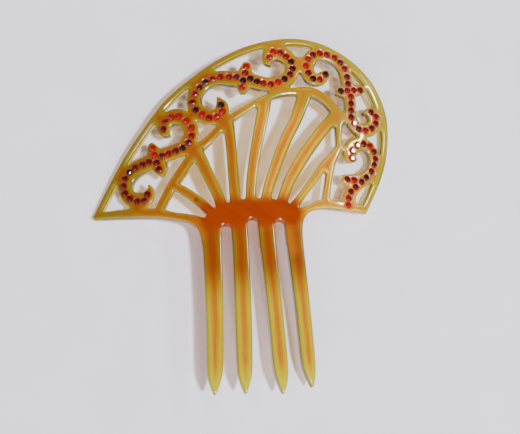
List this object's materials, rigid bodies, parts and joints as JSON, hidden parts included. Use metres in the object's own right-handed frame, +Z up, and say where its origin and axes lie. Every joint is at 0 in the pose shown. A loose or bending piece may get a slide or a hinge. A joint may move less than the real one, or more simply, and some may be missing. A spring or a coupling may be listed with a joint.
{
  "type": "decorative hair comb",
  "caption": "Fan-shaped decorative hair comb with long teeth, radiating spokes and pierced scrolls set with round red stones, cut from one curved translucent amber sheet.",
  "frame": {"origin": "centre of the plan view at the resting plane, with the comb lying face up", "axes": "+X to the comb's right as the decorated face is seen, +Y from the tooth tips towards the top of the rim, +Z up out of the decorated convex face"},
  "size_m": [0.1104, 0.1293, 0.0144],
  "materials": {
    "celluloid": "polished translucent amber",
    "red_stone": "faceted, polished",
    "foil": "bright",
    "cement": "dull"
  },
  "bodies": {
    "root": {"comb_body": "celluloid", "stones_scroll_1_head": "red_stone", "stones_scroll_1_bar": "red_stone", "stones_scroll_1_tail": "red_stone", "stones_scroll_2_head": "red_stone", "stones_scroll_2_bar": "red_stone", "stones_scroll_2_tail": "red_stone", "stones_scroll_3_head": "red_stone", "stones_scroll_3_bar": "red_stone", "stones_scroll_3_tail": "red_stone", "stones_scroll_4_head": "red_stone", "stones_scroll_4_bar": "red_stone", "stones_scroll_4_tail": "red_stone", "foils_scroll_1_head": "foil", "foils_scroll_1_bar": "foil", "foils_scroll_1_tail": "foil", "foils_scroll_2_head": "foil", "foils_scroll_2_bar": "foil", "foils_scroll_2_tail": "foil", "foils_scroll_3_head": "foil", "foils_scroll_3_bar": "foil", "foils_scroll_3_tail": "foil", "foils_scroll_4_head": "foil", "foils_scroll_4_bar": "foil", "foils_scroll_4_tail": "foil", "cement_scroll_1_head": "cement", "cement_scroll_1_bar": "cement", "cement_scroll_1_tail": "cement", "cement_scroll_2_head": "cement", "cement_scroll_2_bar": "cement", "cement_scroll_2_tail": "cement", "cement_scroll_3_head": "cement", "cement_scroll_3_bar": "cement", "cement_scroll_3_tail": "cement", "cement_scroll_4_head": "cement", "cement_scroll_4_bar": "cement", "cement_scroll_4_tail": "cement"}
  },
  "joints": []
}
